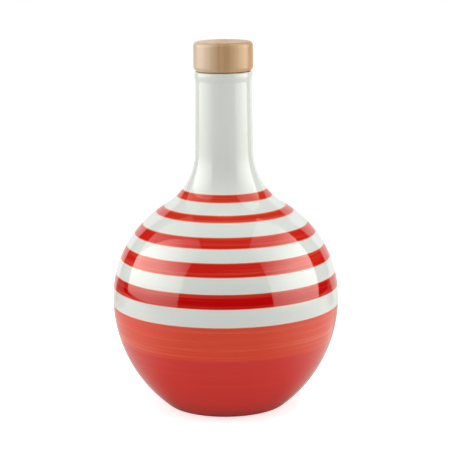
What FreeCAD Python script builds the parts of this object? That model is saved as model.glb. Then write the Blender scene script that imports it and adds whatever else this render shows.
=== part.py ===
"""Ceramic olive oil bottle: a round glazed body with a slim neck, shut by a wooden bar-top stopper.

The body is one revolved solid.  Its outline is a foot ring, a globe of two arcs that meet upright at
the widest circle, one hollow sweep, a neck with a slight draft and a rolled bead over a small cove.
The bottle is shut and opaque, so it is solid inside, apart from the bore that takes the stopper's
shank.  The stopper is a turned wooden head that sits on the lip and a cork shank that is glued into
the head.

Millimetres, +Z up, origin on the axis at the level of the table.
"""
import math
import os

import FreeCAD
import Part

# Globe
BELLY_D = 107.0            # widest circle
BELLY_Z = 51.3             # height of the widest circle
SHOULDER_ARC_R = 51.7      # arc that climbs from the widest circle
FOOT_D = 56.2              # where the lower arc would meet the table

# Foot ring and the recess inside it
FOOT_EDGE_R = 2.4          # rounding between the globe and the table
RING_LAND_W = 4.6          # width of the ring's flat land
RECESS_DEPTH = 2.4
RECESS_CORNER_R = 1.6      # soft corner at the recess floor
RECESS_EDGE_R = 0.6        # inner edge of the ring

# Neck
NECK_TOP_D = 26.35         # where the neck's sides would reach the lip
NECK_DRAFT_DEG = 1.0       # widens downwards
SWEEP_ARC_R = 29.8         # hollow sweep from neck to shoulder

# Lip with its rolled bead, and bore
LIP_Z = 158.5              # top of the lip, the stopper's seat
LIP_BEAD_OUT = 0.55        # how far the rolled bead stands out from the neck's sides
LIP_BEAD_DROP = 1.6        # from the lip's top down to the bead's widest circle
LIP_BEAD_R = 7.0           # arc of the bead
LIP_COVE_R = 3.2           # hollow between the bead and the neck
LIP_OUTER_R = 0.9          # outer edge of the seat
LIP_INNER_R = 1.2          # mouth of the bore
LIP_OUTER_SHARE = 0.3      # most of the lip's wall that each rounding may take
LIP_INNER_SHARE = 0.4
BORE_D = 18.5

# Stopper
HEAD_OVERHANG = 0.23       # how far the head stands out over the bead
HEAD_H = 13.8
HEAD_TOP_R = 2.0           # rounding of the top edge
HEAD_UNDER_R = 2.4         # rounding of the lower edge
SEAT_LAND_MIN = 0.5        # flat contact that the head always keeps on the lip
SHANK_L = 20.0             # length of shank in the bore
SHANK_TIP_CHAMFER = 1.2
SHANK_CLEARANCE = 0.05     # radial, between shank and bore
SOCKET_DEPTH = 2.0         # the shank's glued length inside the head
BORE_END_GAP = 2.0         # free bore under the tip of the shank

AXIS_BASE = FreeCAD.Vector(0, 0, 0)
AXIS_UP = FreeCAD.Vector(0, 0, 1)
MATCH = 0.01               # how closely an edge has to match the circle that is asked for


def point(radius, height):
    """Return the profile point at this radius and height, in the XZ plane."""
    return FreeCAD.Vector(radius, 0, height)


def line(start, end):
    """Return a straight profile edge."""
    return Part.LineSegment(start, end).toShape()


def arc(start, middle, end):
    """Return the profile arc through three points."""
    return Part.Arc(start, middle, end).toShape()


def arc_about(centre, start, end):
    """Return the shorter profile arc about a centre, from start to end."""
    radius = (start - centre).Length
    towards_middle = (start - centre) + (end - centre)
    return arc(start, centre + towards_middle.normalize() * radius, end)


def revolved(edges):
    """Return the solid that a closed run of profile edges sweeps about the axis."""
    face = Part.Face(Part.Wire(edges))
    solid = face.revolve(AXIS_BASE, AXIS_UP, 360)
    if not solid.isValid() or solid.Volume < 0:
        solid = solid.reversed()
    return solid


def rounded(solid, radius, height, fillet_r):
    """Return the solid with its circular edge at this radius and height rounded."""
    matches = []
    for edge in solid.Edges:
        if not isinstance(edge.Curve, Part.Circle):
            continue
        same_radius = abs(edge.Curve.Radius - radius) < MATCH
        same_height = abs(edge.Curve.Center.z - height) < MATCH
        if same_radius and same_height:
            matches.append(edge)
    return solid.makeFillet(fillet_r, matches)


def neck_radius(height):
    """Return the radius of the drafted neck at a height."""
    return NECK_TOP_D / 2 + (LIP_Z - height) * math.tan(math.radians(NECK_DRAFT_DEG))


def neck_outward():
    """Return the direction that points straight out of the drafted neck."""
    draft = math.radians(NECK_DRAFT_DEG)
    return point(math.cos(draft), math.sin(draft))


def lower_arc_centre():
    """Return the centre of the arc that is upright at the belly and meets the table at FOOT_D."""
    inset = (BELLY_D - FOOT_D) / 2
    radius = (inset ** 2 + BELLY_Z ** 2) / (2 * inset)
    return point(BELLY_D / 2 - radius, BELLY_Z)


def hollow_centre(hollow_r, form_centre, form_r, side):
    """Return the centre of a hollow arc that touches both the neck's line and a round form.

    The centre lies one hollow radius outside the neck's line, and one hollow radius plus one form
    radius from the form's centre: a line and a circle.  They cross twice, above the form's centre,
    where side is 1, and below it, where side is -1.
    """
    start = point(neck_radius(0), 0) + neck_outward() * hollow_r
    along = point(-neck_outward().z, neck_outward().x)
    offset = start - form_centre
    half_b = offset.dot(along)
    root = math.sqrt(half_b ** 2 - offset.dot(offset) + (form_r + hollow_r) ** 2)
    return start + along * (side * root - half_b)


def bead_centre():
    """Return the centre of the rolled bead's arc."""
    return point(NECK_TOP_D / 2 + LIP_BEAD_OUT - LIP_BEAD_R, LIP_Z - LIP_BEAD_DROP)


def lip_edge_radius():
    """Return the radius at which the bead's arc reaches the top of the lip."""
    return bead_centre().x + math.sqrt(LIP_BEAD_R ** 2 - LIP_BEAD_DROP ** 2)


def touch_point(form_centre, form_r, hollow):
    """Return the point where a round form passes into the hollow with this centre."""
    return form_centre + (hollow - form_centre).normalize() * form_r


def outer_edges():
    """Return the outline's edges from the table up to the seat of the stopper."""
    foot = point(FOOT_D / 2, 0)
    belly = point(BELLY_D / 2, BELLY_Z)
    shoulder = point(BELLY_D / 2 - SHOULDER_ARC_R, BELLY_Z)
    sweep = hollow_centre(SWEEP_ARC_R, shoulder, SHOULDER_ARC_R, 1)
    cove = hollow_centre(LIP_COVE_R, bead_centre(), LIP_BEAD_R, -1)
    shoulder_end = touch_point(shoulder, SHOULDER_ARC_R, sweep)
    neck_start = sweep - neck_outward() * SWEEP_ARC_R
    neck_end = cove - neck_outward() * LIP_COVE_R
    bead_start = touch_point(bead_centre(), LIP_BEAD_R, cove)
    return [
        arc_about(lower_arc_centre(), foot, belly),
        arc_about(shoulder, belly, shoulder_end),
        arc_about(sweep, shoulder_end, neck_start),
        line(neck_start, neck_end),
        arc_about(cove, neck_end, bead_start),
        arc_about(bead_centre(), bead_start, point(lip_edge_radius(), LIP_Z)),
    ]


def lip_wall():
    """Return the thickness of the lip between the bore and the outside."""
    return lip_edge_radius() - BORE_D / 2


def mouth_rounding():
    """Return the rounding of the bore's mouth, which leaves the lip a flat seat."""
    return min(LIP_INNER_R, lip_wall() * LIP_INNER_SHARE)


def make_bottle():
    """Return the glazed body: globe, sweep, neck, rolled bead, stopper bore and foot ring."""
    bore_r = BORE_D / 2
    bore_floor = LIP_Z - SHANK_L - BORE_END_GAP
    recess_r = FOOT_D / 2 - FOOT_EDGE_R - RING_LAND_W
    run = outer_edges()
    corners = [
        point(lip_edge_radius(), LIP_Z),
        point(bore_r, LIP_Z),
        point(bore_r, bore_floor),
        point(0, bore_floor),
        point(0, RECESS_DEPTH),
        point(recess_r, RECESS_DEPTH),
        point(recess_r, 0),
        point(FOOT_D / 2, 0),
    ]
    for start, end in zip(corners, corners[1:]):
        run.append(line(start, end))
    body = revolved(run)
    body = rounded(body, FOOT_D / 2, 0, FOOT_EDGE_R)
    body = rounded(body, recess_r, RECESS_DEPTH, RECESS_CORNER_R)
    body = rounded(body, recess_r, 0, RECESS_EDGE_R)
    outer_rounding = min(LIP_OUTER_R, lip_wall() * LIP_OUTER_SHARE)
    body = rounded(body, lip_edge_radius(), LIP_Z, outer_rounding)
    return rounded(body, bore_r, LIP_Z, mouth_rounding())


def shank_radius():
    """Return the radius of the stopper's shank, which clears the bore."""
    return BORE_D / 2 - SHANK_CLEARANCE


def make_stopper_head():
    """Return the turned wooden head, with the socket for the shank in its flat underside."""
    head_r = NECK_TOP_D / 2 + LIP_BEAD_OUT + HEAD_OVERHANG
    seat_inner_r = BORE_D / 2 + mouth_rounding()
    under_rounding = min(HEAD_UNDER_R, head_r - seat_inner_r - SEAT_LAND_MIN)
    head = Part.makeCylinder(head_r, HEAD_H, point(0, LIP_Z))
    head = rounded(head, head_r, LIP_Z + HEAD_H, HEAD_TOP_R)
    head = rounded(head, head_r, LIP_Z, under_rounding)
    socket = Part.makeCylinder(shank_radius(), SOCKET_DEPTH, point(0, LIP_Z))
    return head.cut(socket)


def make_stopper_shank():
    """Return the cork shank, from its glued end in the head to its chamfered tip in the bore."""
    tip = LIP_Z - SHANK_L
    radius = shank_radius()
    corners = [
        point(0, tip),
        point(radius - SHANK_TIP_CHAMFER, tip),
        point(radius, tip + SHANK_TIP_CHAMFER),
        point(radius, LIP_Z + SOCKET_DEPTH),
        point(0, LIP_Z + SOCKET_DEPTH),
        point(0, tip),
    ]
    return revolved([line(start, end) for start, end in zip(corners, corners[1:])])


def main():
    """Write each piece to its own STEP file."""
    os.makedirs("parts", exist_ok=True)
    pieces = {
        "bottle": make_bottle(),
        "stopper_head": make_stopper_head(),
        "stopper_shank": make_stopper_shank(),
    }
    for node, shape in pieces.items():
        shape.exportStep(f"parts/{node}.step")
        print(node, "valid", shape.isValid(), "solids", len(shape.Solids), "volume ml", shape.Volume / 1000)


main()
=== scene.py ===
"""Dresses a shut ceramic oil bottle: a brushed and glazed body with a turned beech stopper.

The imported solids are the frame.  The glazed body and the wooden head are turned again as smooth
meshes over their solids, with the glaze, the bare foot ring and the grain that the real ones show.
The cork shank keeps its solid and gets its finish.  Metres, +Z up, the bottle's axis at the origin.
"""

import logging
import math
from dataclasses import dataclass, field
from enum import Enum
from typing import Any, Sequence, Union

import bpy
from mathutils import Matrix, Vector


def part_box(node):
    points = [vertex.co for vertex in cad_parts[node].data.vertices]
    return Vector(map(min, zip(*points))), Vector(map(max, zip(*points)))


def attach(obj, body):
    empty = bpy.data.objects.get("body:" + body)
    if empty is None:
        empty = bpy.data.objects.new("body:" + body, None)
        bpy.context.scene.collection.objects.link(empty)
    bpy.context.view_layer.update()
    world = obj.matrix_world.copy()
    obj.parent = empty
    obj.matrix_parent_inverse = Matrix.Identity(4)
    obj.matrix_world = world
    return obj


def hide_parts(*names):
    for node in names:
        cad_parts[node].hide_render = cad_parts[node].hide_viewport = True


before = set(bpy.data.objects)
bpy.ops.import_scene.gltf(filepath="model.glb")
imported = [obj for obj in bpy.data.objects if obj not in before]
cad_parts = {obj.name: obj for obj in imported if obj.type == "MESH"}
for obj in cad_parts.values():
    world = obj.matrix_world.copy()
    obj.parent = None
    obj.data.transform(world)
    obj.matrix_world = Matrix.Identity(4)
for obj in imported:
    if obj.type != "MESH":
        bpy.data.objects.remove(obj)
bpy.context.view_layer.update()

LOG = logging.getLogger("oil_bottle")
MM = 0.001

Socket = bpy.types.NodeSocket
Feed = Union[bpy.types.NodeSocket, float, Sequence[float]]
Feeds = dict[Union[int, str], Feed]
Pair = tuple[float, float]
Triple = tuple[float, float, float]
Tone = tuple[int, int, int]
Spot = Union[Pair, Vector]


# ---------------------------------------------------------------- colours and named choices


def linear(tone: Tone) -> tuple[float, float, float, float]:
    """Turn a display colour into the linear colour that shaders use.

    Args:
        tone: Display red, green and blue, 0 to 255.

    Returns:
        The linear colour with an alpha of 1.
    """
    channels = []
    for value in tone:
        share = value / 255
        channels.append(share / 12.92 if share <= 0.04045 else ((share + 0.055) / 1.055) ** 2.4)
    return (channels[0], channels[1], channels[2], 1.0)


class Pigment(Enum):
    """The colours that are brushed under the clear glaze."""

    VERMILION = (220, 53, 35)
    SCARLET = (217, 34, 25)
    CARMINE = (206, 9, 12)
    CORAL = (230, 71, 44)
    CRIMSON = (222, 60, 52)


class Side(Enum):
    """The side of the bottle that a lamp stands on, as the sign of its X."""

    LEFT = -1
    RIGHT = 1


class Step(Enum):
    """The way that a ramp goes from its start to its end."""

    SMOOTH = "SMOOTHSTEP"
    STRAIGHT = "LINEAR"


# ---------------------------------------------------------------- node trees


class Graph:
    """Adds nodes to one tree and links them to what feeds them."""

    def __init__(self, tree: bpy.types.NodeTree) -> None:
        """Start on a shader or geometry node tree."""
        self.tree = tree

    def feed(self, socket: Socket, value: Feed) -> None:
        """Link a socket to another socket, or set it to a constant.

        Args:
            socket: The input that is fed.
            value: A socket, a number or a vector.
        """
        if isinstance(value, bpy.types.NodeSocket):
            self.tree.links.new(value, socket)
        else:
            socket.default_value = value

    def add(self, kind: str, feeds: Feeds | None = None, **settings: Any) -> bpy.types.Node:
        """Add a node, set it and feed its inputs.

        Args:
            kind: The node's type name.
            feeds: What feeds each input, by the input's name or number.
            settings: Properties to set on the node.

        Returns:
            The new node.
        """
        node = self.tree.nodes.new(kind)
        for name, value in settings.items():
            setattr(node, name, value)
        for key, value in (feeds or {}).items():
            self.feed(node.inputs[key], value)
        return node

    def calc(self, operation: str, *values: Feed) -> Socket:
        """Return the result of a Math node whose inputs the values feed in order."""
        return self.add("ShaderNodeMath", dict(enumerate(values)), operation=operation).outputs[0]

    def plus(self, first: Feed, second: Feed) -> Socket:
        """Return the sum of two values."""
        return self.calc("ADD", first, second)

    def minus(self, first: Feed, second: Feed) -> Socket:
        """Return the first value less the second."""
        return self.calc("SUBTRACT", first, second)

    def times(self, first: Feed, second: Feed) -> Socket:
        """Return the product of two values."""
        return self.calc("MULTIPLY", first, second)

    def ramp(self, value: Feed, low: Feed, high: Feed, start: Feed = 0.0, end: Feed = 1.0,
             step: Step = Step.SMOOTH) -> Socket:
        """Return a clamped step from start to end while value goes from low to high.

        Args:
            value: What is measured.
            low: Where the step begins.
            high: Where the step ends.
            start: The result below low.
            end: The result above high.
            step: The way between the two.

        Returns:
            The Map Range node's output.
        """
        names = ("Value", "From Min", "From Max", "To Min", "To Max")
        feeds = dict(zip(names, (value, low, high, start, end)))
        return self.add("ShaderNodeMapRange", feeds, interpolation_type=step.value).outputs["Result"]

    def blend(self, factor: Feed, first: Feed, second: Feed) -> Socket:
        """Return the colour between two colours, which is the second where the factor is 1."""
        return self.add("ShaderNodeMix", {0: factor, 6: first, 7: second}, data_type="RGBA").outputs[2]

    def stretched(self, vector: Feed, scale: Feed) -> Socket:
        """Return a vector multiplied along each axis."""
        return self.add("ShaderNodeVectorMath", {0: vector, 1: scale}, operation="MULTIPLY").outputs[0]

    def noise(self, vector: Feed, scale: float, detail: float = 2.0, roughness: float = 0.5) -> Socket:
        """Return noise from 0 to 1, with detail finer layers that are each roughness as strong."""
        feeds = {"Vector": vector, "Scale": scale, "Detail": detail, "Roughness": roughness}
        return self.add("ShaderNodeTexNoise", feeds).outputs["Fac"]

    def bump(self, height: Feed, strength: float, distance: float) -> Socket:
        """Return the normal bent by a height of 0 to 1 that stands for a distance in metres."""
        feeds = {"Height": height, "Strength": strength, "Distance": distance}
        return self.add("ShaderNodeBump", feeds).outputs["Normal"]


class Surface(Graph):
    """A material's shader tree with its Principled shader and its Object coordinates."""

    def __init__(self, name: str, roughness: float = 0.5, ior: float = 1.5) -> None:
        """Start a material.

        Args:
            name: The material's name.
            roughness: The shader's plain roughness, which only gloss needs.
            ior: Its index of refraction, which only gloss needs.
        """
        self.material = bpy.data.materials.new(name)
        self.material.use_nodes = True
        super().__init__(self.material.node_tree)
        self.shader = self.tree.nodes["Principled BSDF"]
        self.shader.inputs["Roughness"].default_value = roughness
        self.shader.inputs["IOR"].default_value = ior
        self.place = self.add("ShaderNodeTexCoord").outputs["Object"]
        self.x, self.y, self.z = self.add("ShaderNodeSeparateXYZ", {0: self.place}).outputs

    def from_axis(self) -> Socket:
        """Return how far a place lies from the Z axis."""
        squares = self.plus(self.calc("POWER", self.x, 2.0), self.calc("POWER", self.y, 2.0))
        return self.calc("SQRT", squares)

    def layers(self, waves: Triple, detail: float = 2.0, roughness: float = 0.5) -> Socket:
        """Return noise over the object's own places, with so many waves per metre along each axis."""
        return self.noise(self.stretched(self.place, waves), 1.0, detail, roughness)

    def matt(self, grey: float) -> None:
        """Make the shader an even grey without gloss."""
        self.shader.inputs["Base Color"].default_value = (grey, grey, grey, 1.0)
        self.shader.inputs["Specular IOR Level"].default_value = 0.0

    def glow(self, strength: Feed, tint: Triple = (1.0, 1.0, 1.0)) -> Socket:
        """Return a glow that isn't sampled as a lamp, and whose radiance is white at 1."""
        self.material.cycles.emission_sampling = "NONE"
        return self.add("ShaderNodeEmission", {"Color": (*tint, 1.0), "Strength": strength}).outputs[0]

    def show(self, shader: Socket) -> bpy.types.Material:
        """Make a shader the material's surface and return the finished material."""
        self.feed(self.tree.nodes["Material Output"].inputs["Surface"], shader)
        return self.material

    def wear(self, **looks: Feed) -> bpy.types.Material:
        """Feed the Principled shader.

        Args:
            looks: What feeds its inputs, named with underscores for spaces.

        Returns:
            The finished material.
        """
        for name, value in looks.items():
            self.feed(self.shader.inputs[name.replace("_", " ").title()], value)
        return self.material


# ---------------------------------------------------------------- finishes


@dataclass(frozen=True)
class Band:
    """One brushed band: its lower and upper edge in millimetres above the table, and its pigment.

    depth says how full its coat is: a fuller coat has fainter streaks.
    """

    low: float
    high: float
    pigment: Pigment
    depth: float = 1.0


@dataclass(frozen=True)
class GlazeFinish:
    """White glaze with brushed bands, over a coral zone and a crimson foot.

    coral_top, coral_foot and coral_soft are in millimetres.  A name that ends in lines says how strong
    the brush's streaks are: for the coral zone from its foot to its top, and for a band with each unit
    that its depth lies under band_full.  One that ends in waves gives the waves per metre of a noise.
    """

    bands: tuple[Band, ...] = (
        Band(100.14, 103.63, Pigment.VERMILION, 0.75),
        Band(92.78, 95.66, Pigment.VERMILION, 0.80),
        Band(82.78, 87.52, Pigment.SCARLET, 1.05),
        Band(71.19, 77.42, Pigment.SCARLET, 0.85),
        Band(57.52, 64.33, Pigment.CARMINE, 1.0),
    )
    coral_top: float = 49.5
    coral_foot: float = 32.9
    coral_soft: float = 0.5
    coral_lines: Pair = (0.40, 0.14)
    crimson_lines: float = 0.03
    band_lines: float = 0.6
    band_full: float = 1.25
    streak_span: Pair = (0.48, 0.68)
    broad_waves: Triple = (9.0, 9.0, 620.0)
    fine_waves: Triple = (14.0, 14.0, 2600.0)
    fine_share: float = 0.26
    white: Tone = (231, 236, 229)
    cloudy: Tone = (226, 231, 224)
    thin: Tone = (246, 144, 108)
    cloud_waves: float = 45.0
    cloud_span: Pair = (0.3, 0.8)
    cloud_share: float = 0.5
    edge: float = 0.10 * MM
    thinning: float = 0.55 * MM
    waver: float = 0.30 * MM
    waver_waves: Triple = (22.0, 22.0, 6.0)
    ripple_waves: float = 160.0
    ripple_share: float = 0.25
    ripple: float = 0.03 * MM
    roughness: float = 0.045
    ior: float = 1.6

    def streaks(self, paint: Surface) -> Socket:
        """Return the fine level lines that a brush leaves while the bottle turns under it.

        Args:
            paint: The material's tree.

        Returns:
            Streaks between 0 and 1, about 0.5 on average.
        """
        broad = paint.layers(self.broad_waves, detail=3.0, roughness=0.6)
        fine = paint.layers(self.fine_waves)
        return paint.plus(paint.times(broad, 1.0 - self.fine_share), paint.times(fine, self.fine_share))

    def brushed(self, paint: Surface, under: Feed, depth: Feed, body: Feed) -> Socket:
        """Lay one brushed colour over what is there.

        Args:
            paint: The material's tree.
            under: The colour below.
            depth: How far the place lies inside the band, in metres.
            body: The pigment's full colour.

        Returns:
            The colour with the band on it.
        """
        cover = paint.ramp(depth, 0.0, self.edge)
        thick = paint.ramp(depth, self.edge / 2, self.thinning)
        return paint.blend(cover, under, paint.blend(thick, linear(self.thin), body))

    def streaked(self, paint: Surface, pigment: Pigment, streaks: Feed, strength: Feed) -> Socket:
        """Return a pigment that is lighter, by up to strength, where the brush left less of it."""
        lack = paint.ramp(streaks, *self.streak_span, 0.0, strength)
        return paint.blend(lack, linear(pigment.value), linear(self.thin))

    def material(self) -> bpy.types.Material:
        """Return the glazed material.

        Returns:
            The material.
        """
        paint = Surface("glaze", self.roughness, self.ior)
        wander = paint.minus(paint.layers(self.waver_waves), 0.5)
        height = paint.plus(paint.z, paint.times(wander, self.waver))
        streaks = self.streaks(paint)

        clouds = paint.noise(paint.place, self.cloud_waves, detail=3.0)
        clouded = paint.ramp(clouds, *self.cloud_span, 0.0, self.cloud_share)
        colour = paint.blend(clouded, linear(self.white), linear(self.cloudy))
        for band in self.bands:
            below = paint.minus(height, band.low * MM)
            above = paint.minus(band.high * MM, height)
            strength = self.band_lines * (self.band_full - band.depth)
            body = self.streaked(paint, band.pigment, streaks, strength)
            colour = self.brushed(paint, colour, paint.calc("MINIMUM", below, above), body)

        lines = paint.ramp(height, self.coral_foot * MM, self.coral_top * MM, *self.coral_lines)
        coral = self.streaked(paint, Pigment.CORAL, streaks, lines)
        crimson = self.streaked(paint, Pigment.CRIMSON, streaks, self.crimson_lines)
        meeting = [(self.coral_foot + shift) * MM for shift in (-self.coral_soft, self.coral_soft)]
        lower = paint.blend(paint.ramp(height, *meeting), crimson, coral)
        colour = self.brushed(paint, colour, paint.minus(self.coral_top * MM, height), lower)
        ripple = paint.noise(paint.place, self.ripple_waves, detail=1.0)
        return paint.wear(base_color=colour, normal=paint.bump(ripple, self.ripple_share, self.ripple))


@dataclass(frozen=True)
class BiscuitFinish:
    """The bare fired clay of the foot ring, wiped free of glaze."""

    light: Tone = (222, 212, 196)
    dark: Tone = (188, 174, 154)
    roughness: float = 0.85
    ior: float = 1.45
    grain_waves: float = 900.0
    grain_span: Pair = (0.35, 0.7)
    relief_share: float = 0.5
    relief: float = 0.15 * MM

    def material(self) -> bpy.types.Material:
        """Return the bare clay material.

        Returns:
            The material.
        """
        clay = Surface("bare_clay", self.roughness, self.ior)
        grains = clay.noise(clay.place, self.grain_waves, detail=4.0, roughness=0.65)
        colour = clay.blend(clay.ramp(grains, *self.grain_span), linear(self.light), linear(self.dark))
        return clay.wear(base_color=colour, normal=clay.bump(grains, self.relief_share, self.relief))


@dataclass(frozen=True)
class BeechFinish:
    """Sanded beech with upright grain, paler and greyer towards its left (-X) side, fine flecks and a satin
    lacquer.

    ring_turn is the rings' angle per metre, and a name that ends in waves gives the waves per metre of
    a noise.
    """

    light: Tone = (203, 165, 122)
    dark: Tone = (186, 144, 99)
    grain_span: Pair = (0.25, 0.75)
    ring_turn: float = 420.0
    ring_share: float = 0.16
    bend_waves: float = 60.0
    bend: float = 2.6
    fibre_waves: Triple = (560.0, 160.0, 14.0)
    pale_side: Tone = (226, 209, 188)
    pale_side_share: float = 0.55
    pale_side_span: Pair = (-11.0 * MM, 1.0 * MM)
    pale_side_waver: float = 1.5 * MM
    fleck: Tone = (140, 96, 60)
    fleck_waves: Triple = (2600.0, 2600.0, 620.0)
    fleck_span: Pair = (0.68, 0.76)
    fleck_share: float = 0.30
    fleck_sink: float = 0.8
    roughness: float = 0.34
    satin_span: Pair = (0.2, 0.8)
    satin: Pair = (0.30, 0.40)
    ior: float = 1.7
    relief_share: float = 0.25
    relief: float = 0.04 * MM

    def material(self) -> bpy.types.Material:
        """Return the wooden material.

        Returns:
            The material.
        """
        wood = Surface("beech", self.roughness, self.ior)
        bend = wood.times(wood.noise(wood.place, self.bend_waves), self.bend)
        ring_at = wood.plus(wood.times(wood.x, self.ring_turn), bend)
        fibres = wood.layers(self.fibre_waves, detail=3.0, roughness=0.55)
        growth = wood.times(wood.calc("SINE", wood.plus(ring_at, fibres)), self.ring_share)
        grain = wood.plus(growth, wood.times(fibres, 1.0 - self.ring_share))
        colour = wood.blend(wood.ramp(grain, *self.grain_span), linear(self.light), linear(self.dark))
        # Paler and greyer towards -X, the left side of the head.
        pale_side_at = wood.plus(wood.x, wood.times(fibres, self.pale_side_waver))
        pale_side = wood.ramp(pale_side_at, *self.pale_side_span, self.pale_side_share, 0.0)
        colour = wood.blend(pale_side, colour, linear(self.pale_side))
        dashes = wood.layers(self.fleck_waves, detail=1.0)
        flecks = wood.ramp(dashes, *self.fleck_span, 0.0, self.fleck_share)
        colour = wood.blend(flecks, colour, linear(self.fleck))
        relief = wood.minus(fibres, wood.times(flecks, self.fleck_sink))
        return wood.wear(base_color=colour, roughness=wood.ramp(fibres, *self.satin_span, *self.satin),
                         normal=wood.bump(relief, self.relief_share, self.relief))


@dataclass(frozen=True)
class CorkFinish:
    """Pressed cork: pale granules with dark bark between them."""

    light: Tone = (205, 160, 112)
    dark: Tone = (128, 84, 50)
    roughness: float = 0.8
    ior: float = 1.4
    granule_waves: float = 520.0
    speck_waves: float = 1400.0
    speck_share: float = 0.5
    bark_span: Pair = (0.45, 1.0)
    relief_share: float = 0.5
    relief: float = 0.2 * MM

    def material(self) -> bpy.types.Material:
        """Return the cork material.

        Returns:
            The material.
        """
        cork = Surface("cork", self.roughness, self.ior)
        feeds = {"Vector": cork.place, "Scale": self.granule_waves}
        granules = cork.add("ShaderNodeTexVoronoi", feeds, feature="F1").outputs["Distance"]
        specks = cork.noise(cork.place, self.speck_waves, detail=3.0, roughness=0.6)
        tone = cork.plus(granules, cork.times(specks, self.speck_share))
        colour = cork.blend(cork.ramp(tone, *self.bark_span), linear(self.light), linear(self.dark))
        return cork.wear(base_color=colour, normal=cork.bump(tone, self.relief_share, self.relief))


# ---------------------------------------------------------------- outlines


@dataclass
class Outline:
    """A profile of radius and height that grows by straight runs and arcs."""

    points: list[Pair] = field(default_factory=list)
    arc_step: float = math.radians(3.0)
    run_step: float = 2.5 * MM

    def to(self, radius: float, height: float) -> "Outline":
        """Run straight to a point, in steps short enough to shade evenly.

        Args:
            radius: The end's distance from the axis.
            height: The end's height.

        Returns:
            This outline.
        """
        if not self.points:
            self.points.append((radius, height))
            return self
        start_r, start_z = self.points[-1]
        steps = max(1, math.ceil(math.hypot(radius - start_r, height - start_z) / self.run_step))
        for step in range(1, steps + 1):
            share = step / steps
            self.points.append((start_r + (radius - start_r) * share, start_z + (height - start_z) * share))
        return self

    def arc(self, centre: Spot, end: Spot, finest: float = 0.0) -> "Outline":
        """Turn about a centre to a point, the short way round.

        Args:
            centre: The arc's centre.
            end: The arc's end.
            finest: The longest chord, or 0 to use the arc step alone.

        Returns:
            This outline.
        """
        start_r, start_z = self.points[-1]
        radius = math.hypot(start_r - centre[0], start_z - centre[1])
        first = math.atan2(start_z - centre[1], start_r - centre[0])
        turn = math.atan2(end[1] - centre[1], end[0] - centre[0]) - first
        turn = (turn + math.pi) % math.tau - math.pi
        step_angle = min(self.arc_step, finest / radius) if finest else self.arc_step
        steps = max(2, math.ceil(abs(turn) / step_angle))
        for step in range(1, steps + 1):
            angle = first + turn * step / steps
            self.points.append((centre[0] + radius * math.cos(angle), centre[1] + radius * math.sin(angle)))
        return self

    def fillet(self, corner: Spot, end: Spot, radius: float) -> "Outline":
        """Run to a corner, round it, and leave the outline where the rounding ends towards end.

        Args:
            corner: The sharp corner between the run from the last point and the run to end.
            end: Where the outline heads after the corner.
            radius: The rounding's radius.

        Returns:
            This outline.
        """
        here = Vector(self.points[-1])
        turn_point = Vector(corner)
        incoming = (here - turn_point).normalized()
        outgoing = (Vector(end) - turn_point).normalized()
        half = incoming.angle(outgoing) / 2
        leg = radius / math.tan(half)
        centre = turn_point + (incoming + outgoing).normalized() * (radius / math.sin(half))
        first = turn_point + incoming * leg
        last = turn_point + outgoing * leg
        self.to(first.x, first.y)
        return self.arc((centre.x, centre.y), (last.x, last.y))


# ---------------------------------------------------------------- turning


def put(name: str, data: bpy.types.ID) -> bpy.types.Object:
    """Make an object of its data and link it to the scene.

    Args:
        name: The object's name.
        data: Its mesh, lamp or camera.

    Returns:
        The object.
    """
    thing = bpy.data.objects.new(name, data)
    bpy.context.scene.collection.objects.link(thing)
    return thing


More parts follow.
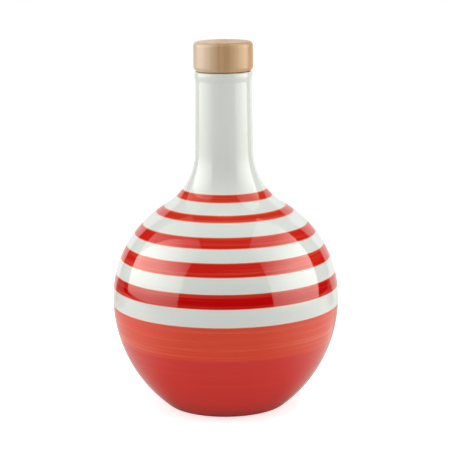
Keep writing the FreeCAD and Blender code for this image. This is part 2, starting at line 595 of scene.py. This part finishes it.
class TurningTree:
    """Geometry Nodes that turn a profile about the Z axis into one closed skin."""

    NAME: str = "turned_skin"
    WELD: float = 0.002 * MM
    SIZES: dict[str, str] = {
        "Profile": "NodeSocketGeometry", "Steps": "NodeSocketInt", "Waver": "NodeSocketFloat",
        "Waver Scale": "NodeSocketFloat", "Seed": "NodeSocketInt", "Bare Below": "NodeSocketFloat",
        "Finish": "NodeSocketMaterial", "Bare Finish": "NodeSocketMaterial",
    }

    def __init__(self) -> None:
        """Build the tree, with a named input for each size."""
        self.tree = bpy.data.node_groups.new(self.NAME, "GeometryNodeTree")
        sockets = self.tree.interface
        self.inputs: dict[str, str] = {}
        for name, kind in self.SIZES.items():
            self.inputs[name] = sockets.new_socket(name, in_out="INPUT", socket_type=kind).identifier
        sockets.new_socket("Skin", in_out="OUTPUT", socket_type="NodeSocketGeometry")
        graph = Graph(self.tree)
        given = graph.add("NodeGroupInput").outputs
        place = graph.add("GeometryNodeInputPosition").outputs[0]
        skin = self._turned(graph, given, place)
        skin = self._wavered(graph, given, place, skin)
        skin = self._finished(graph, given, place, skin)
        graph.add("NodeGroupOutput", {0: skin})

    def _turned(self, graph: Graph, given: Any, place: Socket) -> Socket:
        """Lay a grid with a column for each step, turn it round the axis, and weld its seam and poles.

        Args:
            graph: The tree's graph.
            given: The tree's inputs.
            place: Each point's place.

        Returns:
            The closed skin.
        """
        count = graph.add("GeometryNodeAttributeDomainSize", {0: given["Profile"]}, component="MESH")
        points = count.outputs["Point Count"]
        columns = graph.plus(given["Steps"], 1.0)
        grid = graph.add("GeometryNodeMeshGrid", {"Vertices X": columns, "Vertices Y": points})
        index = graph.add("GeometryNodeInputIndex").outputs[0]
        feeds = {"Geometry": given["Profile"], "Value": place,
                 "Index": graph.calc("FLOORED_MODULO", index, points)}
        sample = graph.add("GeometryNodeSampleIndex", feeds, data_type="FLOAT_VECTOR", domain="POINT")
        radius, _, height = graph.add("ShaderNodeSeparateXYZ", {0: sample.outputs[0]}).outputs
        column = graph.calc("FLOOR", graph.calc("DIVIDE", index, points))
        angle = graph.calc("DIVIDE", graph.times(column, math.tau), given["Steps"])
        feeds = {0: graph.times(radius, graph.calc("COSINE", angle)),
                 1: graph.times(radius, graph.calc("SINE", angle)), 2: height}
        around = graph.add("ShaderNodeCombineXYZ", feeds).outputs[0]
        feeds = {"Geometry": grid.outputs["Mesh"], "Position": around}
        feeds = {"Geometry": graph.add("GeometryNodeSetPosition", feeds).outputs[0], "Distance": self.WELD}
        return graph.add("GeometryNodeMergeByDistance", feeds).outputs[0]

    def _wavered(self, graph: Graph, given: Any, place: Socket, skin: Socket) -> Socket:
        """Press the skin in a little, unevenly, as a hand-turned wall is.

        Args:
            graph: The tree's graph.
            given: The tree's inputs.
            place: Each point's place.
            skin: The even skin.

        Returns:
            The wavering skin.
        """
        feeds = {"Vector": place, "W": given["Seed"], "Scale": given["Waver Scale"], "Detail": 1.0}
        noise = graph.add("ShaderNodeTexNoise", feeds, noise_dimensions="4D").outputs["Fac"]
        inward = graph.times(graph.times(noise, given["Waver"]), -1.0)
        level = graph.stretched(graph.add("GeometryNodeInputNormal").outputs[0], (1.0, 1.0, 0.0))
        push = graph.add("ShaderNodeVectorMath", {0: level, "Scale": inward}, operation="SCALE").outputs[0]
        return graph.add("GeometryNodeSetPosition", {"Geometry": skin, "Offset": push}).outputs[0]

    def _finished(self, graph: Graph, given: Any, place: Socket, skin: Socket) -> Socket:
        """Smooth the skin and give it its finish, with the bare one at its foot.

        Args:
            graph: The tree's graph.
            given: The tree's inputs.
            place: Each point's place.
            skin: The skin.

        Returns:
            The dressed skin.
        """
        skin = graph.add("GeometryNodeSetShadeSmooth", {"Geometry": skin}).outputs[0]
        skin = graph.add("GeometryNodeRealizeInstances", {0: skin}).outputs[0]
        feeds = {"Geometry": skin, "Material": given["Finish"]}
        skin = graph.add("GeometryNodeSetMaterial", feeds).outputs[0]
        height = graph.add("ShaderNodeSeparateXYZ", {0: place}).outputs[2]
        feeds = {"Geometry": skin, "Material": given["Bare Finish"],
                 "Selection": graph.calc("LESS_THAN", height, given["Bare Below"])}
        return graph.add("GeometryNodeSetMaterial", feeds).outputs[0]

    def turn(self, name: str, outline: Outline, **sizes: Any) -> bpy.types.Object:
        """Turn an outline into a plain mesh object.

        Args:
            name: The new piece's name.
            outline: The profile, from the foot of the axis outwards and up.
            sizes: Values for the tree's inputs, with underscores for spaces.

        Returns:
            The piece, with no modifier left on it.
        """
        profile = bpy.data.meshes.new(f"{name}_profile")
        corners = [(radius, 0.0, height) for radius, height in outline.points]
        profile.from_pydata(corners, [(i, i + 1) for i in range(len(corners) - 1)], [])
        source = put(profile.name, profile)
        modifier = source.modifiers.new("Turning", "NODES")
        modifier.node_group = self.tree
        for key, value in sizes.items():
            modifier[self.inputs[key.replace("_", " ").title()]] = value
        source.update_tag()
        bpy.context.view_layer.update()
        evaluated = bpy.context.evaluated_depsgraph_get()
        mesh = bpy.data.meshes.new_from_object(source.evaluated_get(evaluated), depsgraph=evaluated)
        mesh.name = name
        mesh.materials.pop(index=0)  # Set Material leaves an empty slot there, which no face wears
        bpy.data.objects.remove(source)
        return put(name, mesh)


# ---------------------------------------------------------------- the bottle


@dataclass
class GlazedBody:
    """The glazed body: foot ring, globe of two arcs, hollow sweep, drafted neck, cove and rolled bead."""

    turning: TurningTree
    glaze: GlazeFinish = GlazeFinish()
    biscuit: BiscuitFinish = BiscuitFinish()
    node: str = "bottle"
    belly_height: float = 51.3 * MM
    shoulder_arc: float = 51.7 * MM
    foot_radius: float = 28.1 * MM
    foot_edge: float = 2.4 * MM
    ring_land: float = 4.6 * MM
    recess_depth: float = 2.4 * MM
    recess_corner: float = 1.6 * MM
    recess_edge: float = 0.6 * MM
    neck_top_radius: float = 13.175 * MM
    neck_draft: float = math.radians(1.0)
    sweep_arc: float = 29.8 * MM
    bead_out: float = 0.55 * MM
    bead_drop: float = 1.6 * MM
    bead_arc: float = 7.0 * MM
    cove_arc: float = 3.2 * MM
    lip_outer: float = 0.9 * MM
    lip_inner: float = 1.2 * MM
    bore_radius: float = 9.25 * MM
    bore_depth: float = 22.0 * MM
    bare_below: float = 0.05 * MM
    waver: float = 0.05 * MM
    waver_scale: float = 28.0
    seed: int = 7
    steps: int = 320
    globe_chord: float = 1.5 * MM
    lip_chord: float = 0.15 * MM

    def outward(self) -> Vector:
        """Return the direction that points straight out of the drafted neck."""
        return Vector((math.cos(self.neck_draft), math.sin(self.neck_draft)))

    def hollow(self, arc: float, lip: float, form: Vector, form_arc: float, side: int) -> Vector:
        """Place a hollow arc that touches both the neck's side and a round form.

        Args:
            arc: The hollow's radius.
            lip: The height of the lip.
            form: The centre of the round form.
            form_arc: The form's radius.
            side: 1 for the hollow above the form, -1 for the one below it.

        Returns:
            The hollow's centre.
        """
        start = Vector((self.neck_top_radius, lip)) + self.outward() * arc
        along = Vector((-self.outward().y, self.outward().x))
        offset = start - form
        half = offset.dot(along)
        distance = side * math.sqrt(half ** 2 - offset.dot(offset) + (form_arc + arc) ** 2) - half
        return start + along * distance

    def foot(self, shape: Outline, lower_centre: Vector, lower_arc: float) -> None:
        """Add the recess, the ring that the bottle stands on and the rounding up into the globe.

        Args:
            shape: The outline, which is empty so far.
            lower_centre: The centre of the globe's lower arc.
            lower_arc: The lower arc's radius.
        """
        recess = self.foot_radius - self.foot_edge - self.ring_land
        shape.to(0.0, self.recess_depth)
        shape.fillet((recess, self.recess_depth), (recess, 0.0), self.recess_corner)
        shape.fillet((recess, 0.0), (self.foot_radius, 0.0), self.recess_edge)
        drop = self.belly_height - self.foot_edge
        reach = math.sqrt((lower_arc - self.foot_edge) ** 2 - drop ** 2)
        edge_centre = Vector((lower_centre.x + reach, self.foot_edge))
        away = (edge_centre - lower_centre).normalized()
        shape.to(edge_centre.x, 0.0)
        shape.arc(edge_centre, edge_centre + away * self.foot_edge)

    def lip(self, shape: Outline, lip: float, bead: Vector) -> None:
        """Add the lip's rounded edge, its flat seat and the mouth of the bore.

        Args:
            shape: The outline, which stands on the bead.
            lip: The height of the lip.
            bead: The centre of the bead's arc.
        """
        rise = lip - self.lip_outer - bead.y
        reach = math.sqrt((self.bead_arc - self.lip_outer) ** 2 - rise ** 2)
        edge = Vector((bead.x + reach, lip - self.lip_outer))
        shape.arc(bead, edge + (edge - bead).normalized() * self.lip_outer, self.lip_chord)
        shape.arc(edge, (edge.x, lip), self.lip_chord)
        mouth = self.bore_radius + self.lip_inner
        shape.to(mouth, lip)
        shape.arc((mouth, lip - self.lip_inner), (self.bore_radius, lip - self.lip_inner))

    def outline(self) -> Outline:
        """Return the body's profile, from the middle of the recess round to the bore's floor.

        Returns:
            The outline.
        """
        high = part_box(self.node)[1]
        lip, belly = high[2], high[0]
        inset = belly - self.foot_radius
        lower_arc = (inset ** 2 + self.belly_height ** 2) / (2 * inset)
        lower = Vector((belly - lower_arc, self.belly_height))
        shoulder = Vector((belly - self.shoulder_arc, self.belly_height))
        bead = Vector((self.neck_top_radius + self.bead_out - self.bead_arc, lip - self.bead_drop))
        sweep = self.hollow(self.sweep_arc, lip, shoulder, self.shoulder_arc, 1)
        cove = self.hollow(self.cove_arc, lip, bead, self.bead_arc, -1)

        shape = Outline()
        self.foot(shape, lower, lower_arc)
        shape.arc(lower, (belly, self.belly_height), self.globe_chord)
        shape.arc(shoulder, shoulder + (sweep - shoulder).normalized() * self.shoulder_arc, self.globe_chord)
        shape.arc(sweep, sweep - self.outward() * self.sweep_arc, self.globe_chord)
        shape.to(*(cove - self.outward() * self.cove_arc))
        shape.arc(cove, bead + (cove - bead).normalized() * self.bead_arc, self.lip_chord)
        self.lip(shape, lip, bead)
        shape.to(self.bore_radius, lip - self.bore_depth)
        shape.to(0.0, lip - self.bore_depth)
        return shape

    def build(self) -> bpy.types.Object:
        """Turn, dress and mount the body over its solid.

        Returns:
            The glazed body.
        """
        piece = self.turning.turn(
            "glazed_body", self.outline(), steps=self.steps, waver=self.waver,
            waver_scale=self.waver_scale, seed=self.seed, bare_below=self.bare_below,
            finish=self.glaze.material(), bare_finish=self.biscuit.material())
        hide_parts(self.node)
        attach(piece, "root")
        return piece


@dataclass
class Stopper:
    """The bar-top stopper: a turned beech head over a cork shank."""

    turning: TurningTree
    beech: BeechFinish = BeechFinish()
    cork: CorkFinish = CorkFinish()
    head_node: str = "stopper_head"
    shank_node: str = "stopper_shank"
    top_round: float = 2.0 * MM
    under_round: float = 2.4 * MM
    socket_radius: float = 9.2 * MM
    socket_depth: float = 2.0 * MM
    waver: float = 0.0
    waver_scale: float = 40.0
    seed: int = 3
    bare_below: float = 0.0
    steps: int = 192
    run_step: float = 1.2 * MM

    def outline(self) -> Outline:
        """Return the head's profile, from the roof of its socket round to the middle of its top.

        Returns:
            The outline.
        """
        low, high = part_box(self.head_node)
        radius, seat, top = high[0], low[2], high[2]
        shape = Outline(run_step=self.run_step)
        shape.to(0.0, seat + self.socket_depth)
        shape.to(self.socket_radius, seat + self.socket_depth)
        shape.to(self.socket_radius, seat)
        shape.fillet((radius, seat), (radius, top), self.under_round)
        shape.fillet((radius, top), (0.0, top), self.top_round)
        shape.to(0.0, top)
        return shape

    def build(self) -> list[bpy.types.Object]:
        """Turn and dress the head, and give the shank its cork.

        Returns:
            The head and the shank.
        """
        wood = self.beech.material()
        head = self.turning.turn(
            "beech_head", self.outline(), steps=self.steps, waver=self.waver,
            waver_scale=self.waver_scale, seed=self.seed, bare_below=self.bare_below,
            finish=wood, bare_finish=wood)
        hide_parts(self.head_node)
        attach(head, "root")
        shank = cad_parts[self.shank_node]
        shank.data.materials.clear()
        shank.data.materials.append(self.cork.material())
        return [head, shank]


# ---------------------------------------------------------------- the studio


def area_lamp(name: str, radiance: float, size: Pair, place: Matrix) -> bpy.types.Object:
    """Add a rectangular lamp whose face has one radiance, and which gloss doesn't see.

    Args:
        name: The lamp's name.
        radiance: How bright its face is, where 1 is white.
        size: Its width and height.
        place: Where its middle is and how it is turned; it shines along its own -Z.

    Returns:
        The lamp's object.
    """
    lamp = bpy.data.lights.new(name, "AREA")
    lamp.shape = "RECTANGLE"
    lamp.size, lamp.size_y = size
    lamp.energy = radiance * math.pi * size[0] * size[1]
    holder = put(name, lamp)
    holder.matrix_world = place
    holder.visible_glossy = False
    return holder


def level_square(name: str, half: float, height: float) -> bpy.types.Mesh:
    """Make a level square about the bottle's axis.

    Args:
        name: The mesh's name.
        half: Half its side.
        height: Its height above the table.

    Returns:
        The mesh, which faces up.
    """
    mesh = bpy.data.meshes.new(name)
    corners = [(x * half, y * half, height) for x, y in ((-1, -1), (1, -1), (1, 1), (-1, 1))]
    mesh.from_pydata(corners, [], [(0, 1, 2, 3)])
    return mesh


def stand(mesh: bpy.types.Mesh, glossy_only: bool = False) -> bpy.types.Object:
    """Put a stage mesh in the scene.

    Args:
        mesh: The mesh, in place.
        glossy_only: Whether only gloss sees it.

    Returns:
        Its object.
    """
    thing = put(mesh.name, mesh)
    if glossy_only:
        for kind in ("camera", "diffuse", "transmission", "volume_scatter", "shadow"):
            setattr(thing, f"visible_{kind}", False)
    return thing


@dataclass
class SoftBox:
    """A tall soft lamp beside the bottle, with the card and the pool of light that gloss mirrors.

    light is the radiance that lights, gloss the card's own where it is brightest, and pool that of the
    table beside the bottle.  The card stands upright, and its measures are shares of its distance.
    Along it, front and back give how far it reaches towards the camera and away from it, each at its
    foot and at its top.  It is cut off at foot_edge and along a slanting back edge, and past the
    corner line it has a lower share; the usual corner lies past the card and changes nothing.  It
    fades over the spans whose names end in fade, at its top down to top_share.  clearing is the angle
    from the camera's side at which the pool ends and the white behind the bottle begins.
    """

    side: Side
    light: float
    gloss: float
    pool: float
    front: Pair
    back_edge: float
    back_slant: float
    foot_edge: float
    foot_fade: Pair
    top_fade: Pair
    front_fade: Pair
    clearing: float
    corner_at: float = 9.0
    corner_slant: float = 0.54
    corner_share: float = 0.35
    crisp: float = 0.03
    top_share: float = 0.31
    tint: Triple = (1.0, 0.98, 0.89)
    back: Pair = (0.60, 1.40)
    top: float = 2.4
    top_power: float = 1.3
    distance: float = 0.60
    foot: float = -0.35
    lean: float = 0.30
    look_height: float = 0.07
    lamp_foot: float = 0.02

    def lamp(self) -> bpy.types.Object:
        """Add the leaning lamp.

        Returns:
            The lamp.
        """
        sign = self.side.value
        head = self.look_height + self.top * self.distance / (1 + self.lean * self.top)
        reach_front = (self.front[0] + self.front[1]) / 2
        reach_back = (self.back[0] + self.back[1]) / 2
        middle_y = (reach_back - reach_front) / 2 * self.distance
        low = Vector((sign * self.distance, middle_y, self.lamp_foot))
        high = Vector((sign * (self.distance - self.lean * head), middle_y, head))
        up = (high - low).normalized()
        outward = Vector((0, 1, 0)).cross(up) * sign
        turn = Matrix((up.cross(outward), up, outward)).transposed().to_4x4()
        size = ((reach_front + reach_back) * self.distance, (high - low).length)
        place = Matrix.Translation((low + high) / 2) @ turn
        return area_lamp(f"soft_box_{self.side.name.lower()}", self.light, size, place)

    def cut(self, graph: Graph, value: Feed, edge: float, above: float, below: float) -> Socket:
        """Return a crisp step at an edge, from the result below it to the result above it."""
        return graph.ramp(value, edge - self.crisp / 2, edge + self.crisp / 2, below, above)

    def finish(self, name: str) -> bpy.types.Material:
        """Return the card's glow, a painted reflection of the lamp, with its fading.

        Args:
            name: The material's name.

        Returns:
            The material.
        """
        face = Surface(name)
        along = face.calc("DIVIDE", face.y, self.distance)
        up = face.calc("DIVIDE", face.minus(face.z, self.look_height), self.distance)
        behind = face.minus(along, face.times(up, self.back_slant))
        corner = face.plus(along, face.times(up, self.corner_slant))
        fall = face.minus(1.0, face.ramp(up, *self.top_fade, step=Step.STRAIGHT))
        share = face.calc("MAXIMUM", face.calc("POWER", fall, self.top_power), self.top_share)
        for part in (face.ramp(up, *self.foot_fade),
                     self.cut(face, up, self.foot_edge, 1.0, 0.0),
                     face.ramp(along, *self.front_fade, step=Step.STRAIGHT),
                     self.cut(face, behind, self.back_edge, 0.0, 1.0),
                     self.cut(face, corner, self.corner_at, self.corner_share, 1.0)):
            share = face.times(share, part)
        # The card's glow is a painted highlight: the lamp itself is hidden from gloss.
        return face.show(face.glow(face.times(share, self.gloss), self.tint))

    def card(self) -> bpy.types.Object:
        """Add the card, a glowing painted reflection of the lamp that only gloss sees.

        Returns:
            The card.
        """
        beside = self.side.value * self.distance
        corners = []
        for along, up in ((-self.front[0], self.foot), (self.back[0], self.foot),
                          (self.back[1], self.top), (-self.front[1], self.top)):
            corners.append((beside, along * self.distance, self.look_height + up * self.distance))
        mesh = bpy.data.meshes.new(f"card_{self.side.name.lower()}")
        mesh.from_pydata(corners, [], [(0, 1, 2, 3)])
        mesh.materials.append(self.finish(mesh.name))
        return stand(mesh, glossy_only=True)

    def build(self) -> list[bpy.types.Object]:
        """Add the lamp and its card, and return both."""
        return [self.lamp(), self.card()]


@dataclass
class TableSheen:
    """What gloss mirrors of the table, painted as a glow: pools of light beside the bottle, painted shadow
    near its foot and white behind it.

    Angles are measured about the bottle's axis, from the camera's side towards the back, and reaches
    from the axis outwards.  A name that ends in back is for the side away from the camera.
    """

    boxes: tuple[SoftBox, ...]
    # The levels close to the foot are painted shadow of the bottle, darkest on the camera's side.
    contact_shadow: float = 0.12
    contact_back: float = 0.62
    contact_turn: Pair = (math.radians(45), math.radians(110))
    front: float = 0.34
    shade: float = 0.18
    back: float = 0.95
    pool_rise: Pair = (math.radians(24), math.radians(84))
    pool_end: Pair = (math.radians(106), math.radians(122))
    contact_reach: Pair = (0.03, 0.13)
    back_reach: Pair = (0.10, 0.34)
    pool_reach: Pair = (0.14, 0.32)
    soft: float = math.radians(4)
    tint: Triple = (1.0, 0.97, 0.90)
    half: float = 3.0
    drop: float = 0.2 * MM

    def finish(self) -> bpy.types.Material:
        """Return the sheen's glow.

        Returns:
            The material.
        """
        sheen = Surface("table_sheen")
        left_box, right_box = self.boxes
        right = sheen.calc("GREATER_THAN", sheen.x, 0.0)
        swing = sheen.calc("ARCTAN2", sheen.calc("ABSOLUTE", sheen.x), sheen.times(sheen.y, -1.0))
        away = sheen.from_axis()
        pool = sheen.ramp(right, 0.0, 1.0, left_box.pool, right_box.pool)
        around = sheen.ramp(swing, *self.pool_rise, self.front, pool)
        # Painted shadow close to the foot, lighter towards the back.
        contact_shadow = sheen.ramp(swing, *self.contact_turn, self.contact_shadow, self.contact_back)
        near = sheen.ramp(away, *self.contact_reach, contact_shadow, around)
        gone = sheen.times(sheen.ramp(away, *self.pool_reach), sheen.ramp(swing, *self.pool_end))
        beside = sheen.ramp(gone, 0.0, 1.0, near, self.shade)
        opening = sheen.ramp(right, 0.0, 1.0, left_box.clearing, right_box.clearing)
        back = sheen.ramp(away, *self.back_reach, contact_shadow, self.back)
        level = sheen.ramp(sheen.minus(swing, opening), 0.0, self.soft, beside, back)
        return sheen.show(sheen.glow(level, self.tint))

    def build(self) -> bpy.types.Object:
        """Lay the sheen just under the table's face.

        Returns:
            The sheen, which only gloss sees.
        """
        mesh = level_square("table_sheen", self.half, -self.drop)
        mesh.materials.append(self.finish())
        return stand(mesh, glossy_only=True)


@dataclass
class Hood:
    """The dark hood that the front of the glaze reflects, a painted dark reflection with a glowing painted
    white reflection at its back.

    The white begins at half_angles from the camera's side, on the left and on the right, and reaches
    up to opening.  The net of faces starts at foot and closes overhead.
    """

    radius: float = 2.0
    half_angles: Pair = (math.radians(144), math.radians(138))
    opening: float = math.radians(34)
    foot: float = math.radians(-4)
    columns: int = 180
    rows: int = 16
    dark_reflection_tone: float = 0.01
    white_reflection_glow: float = 0.86

    def turned(self, column: float, row: float) -> Pair:
        """Return how far round and how high a place of the net lies, as angles."""
        swing = math.pi * (2 * column / self.columns - 1)
        return swing, self.foot + (math.pi / 2 - self.foot) * row / self.rows

    def in_white_reflection(self, column: int, row: int) -> bool:
        """Return whether the middle of a face lies in the painted white reflection."""
        swing, lift = self.turned(column + 0.5, row + 0.5)
        return abs(swing) > self.half_angles[swing > 0] and lift < self.opening

    def finishes(self) -> tuple[bpy.types.Material, bpy.types.Material]:
        """Return the materials of the painted dark reflection and of the glowing painted white one.

        Returns:
            Both.
        """
        # Both sheets are seen only by gloss: painted reflections of a dark room and of a white backdrop.
        dark_sheet = Surface("painted_dark_reflection")
        dark_sheet.matt(self.dark_reflection_tone)
        white_sheet = Surface("painted_white_reflection")
        return dark_sheet.material, white_sheet.show(white_sheet.glow(self.white_reflection_glow))

    def build(self) -> bpy.types.Object:
        """Hang the hood.

        Returns:
            The hood, which only gloss sees.
        """
        corners, faces, in_white_reflection = [], [], []
        for row in range(self.rows + 1):
            for column in range(self.columns + 1):
                swing, lift = self.turned(column, row)
                corners.append((self.radius * math.cos(lift) * math.sin(swing),
                                -self.radius * math.cos(lift) * math.cos(swing),
                                self.radius * math.sin(lift)))
        for row in range(self.rows):
            for column in range(self.columns):
                first = row * (self.columns + 1) + column
                faces.append((first, first + 1, first + self.columns + 2, first + self.columns + 1))
                in_white_reflection.append(self.in_white_reflection(column, row))
        mesh = bpy.data.meshes.new("dark_hood")
        mesh.from_pydata(corners, [], faces)
        for finish in self.finishes():
            mesh.materials.append(finish)
        mesh.polygons.foreach_set("material_index", in_white_reflection)
        return stand(mesh, glossy_only=True)


@dataclass
class Studio:
    """The pale table, the white surround, the hood, two soft boxes, a light above and the camera."""

    lamps: tuple[SoftBox, ...] = (
        SoftBox(Side.LEFT, light=1.35, gloss=4.0, pool=0.78, front=(0.88, 1.10), back_edge=0.47,
                back_slant=0.30, foot_edge=-0.07, foot_fade=(-0.38, 0.38), top_fade=(0.5, 2.1),
                front_fade=(-1.55, -0.15), clearing=math.radians(141), corner_at=0.735),
        SoftBox(Side.RIGHT, light=1.35, gloss=4.0, pool=1.00, front=(0.92, 1.06), back_edge=0.27,
                back_slant=0.27, foot_edge=-0.14, foot_fade=(-0.55, 0.28), top_fade=(0.45, 1.75),
                front_fade=(-1.50, -0.15), clearing=math.radians(130)),
    )
    ambient: float = 0.04
    ceiling: float = 1.15
    ceiling_size: Pair = (1.2, 1.2)
    ceiling_place: Triple = (0.0, -0.2, 1.2)
    table_half: float = 3.0
    table_tone: float = 0.85
    table_lift: float = 0.66
    table_glow: float = 0.09
    table_whitens: Pair = (0.25, 0.60)
    camera_distance: float = 0.7622
    camera_height: float = 0.2362
    camera_pitch: float = math.radians(11.171)
    camera_roll: float = math.radians(-0.64)
    lens: float = 131.6
    sensor: float = 36.0
    clip_start: float = 0.01

    def seen_plainly(self, graph: Graph) -> Socket:
        """Return 1 for rays that see the background: those of the camera, gloss and clear stuff.

        Args:
            graph: The tree that asks.

        Returns:
            The share, 0 or 1.
        """
        rays = graph.add("ShaderNodeLightPath").outputs
        seen = graph.calc("MAXIMUM", rays["Is Camera Ray"], rays["Is Glossy Ray"])
        return graph.calc("MAXIMUM", seen, rays["Is Transmission Ray"])

    def surround(self) -> None:
        """Make the world white where it is seen and a soft grey where it lights."""
        world = bpy.data.worlds.new("studio")
        bpy.context.scene.world = world
        world.use_nodes = True
        graph = Graph(world.node_tree)
        light = world.node_tree.nodes["Background"]
        light.inputs["Color"].default_value = (1.0, 1.0, 1.0, 1.0)
        seen = self.seen_plainly(graph)
        graph.feed(light.inputs["Strength"], graph.ramp(seen, 0.0, 1.0, self.ambient, 1.0))

    def table(self) -> bpy.types.Object:
        """Lay the pale table, which keeps the bottle's shadow.

        Returns:
            The table.
        """
        top = Surface("pale_table")
        top.matt(self.table_tone)
        far = top.ramp(top.from_axis(), *self.table_whitens)
        lift = top.ramp(far, 0.0, 1.0, self.table_lift, 1.0)
        glow = top.glow(top.ramp(self.seen_plainly(top), 0.0, 1.0, self.table_glow, lift))
        both = top.add("ShaderNodeAddShader", {0: top.shader.outputs[0], 1: glow})
        mesh = level_square("table", self.table_half, 0.0)
        mesh.materials.append(top.show(both.outputs[0]))
        laid = stand(mesh)
        laid.visible_glossy = False
        return laid

    def camera(self) -> bpy.types.Object:
        """Set the camera in front of the bottle, a little above it.

        Returns:
            The camera.
        """
        lens = bpy.data.cameras.new("camera")
        lens.lens = self.lens
        lens.sensor_width = self.sensor
        lens.clip_start = self.clip_start
        holder = put("camera", lens)
        tilt = Matrix.Rotation(math.pi / 2 - self.camera_pitch, 4, "X")
        roll = Matrix.Rotation(self.camera_roll, 4, "Z")
        place = Matrix.Translation((0.0, -self.camera_distance, self.camera_height))
        holder.matrix_world = place @ tilt @ roll
        bpy.context.scene.camera = holder
        return holder

    def build(self) -> list[bpy.types.Object]:
        """Set up the whole studio.

        Returns:
            Its objects.
        """
        bpy.context.scene.view_settings.view_transform = "Standard"
        self.surround()
        lamps = [part for lamp in self.lamps for part in lamp.build()]
        above = area_lamp("ceiling_light", self.ceiling, self.ceiling_size,
                          Matrix.Translation(self.ceiling_place))
        sheen = TableSheen(self.lamps).build()
        return [self.camera(), self.table(), sheen, Hood().build(), *lamps, above]


# ---------------------------------------------------------------- making


def main() -> None:
    """Build the bottle, its stopper and the studio, and report each piece."""
    logging.basicConfig(level=logging.INFO, format="%(name)s: %(message)s")
    turning = TurningTree()
    made = [GlazedBody(turning).build(), *Stopper(turning).build(), *Studio().build()]
    for piece in made:
        faces = len(piece.data.polygons) if piece.type == "MESH" else 0
        LOG.info("%s: %s, %d faces", piece.name, piece.type.lower(), faces)


if __name__ == "__main__":
    main()
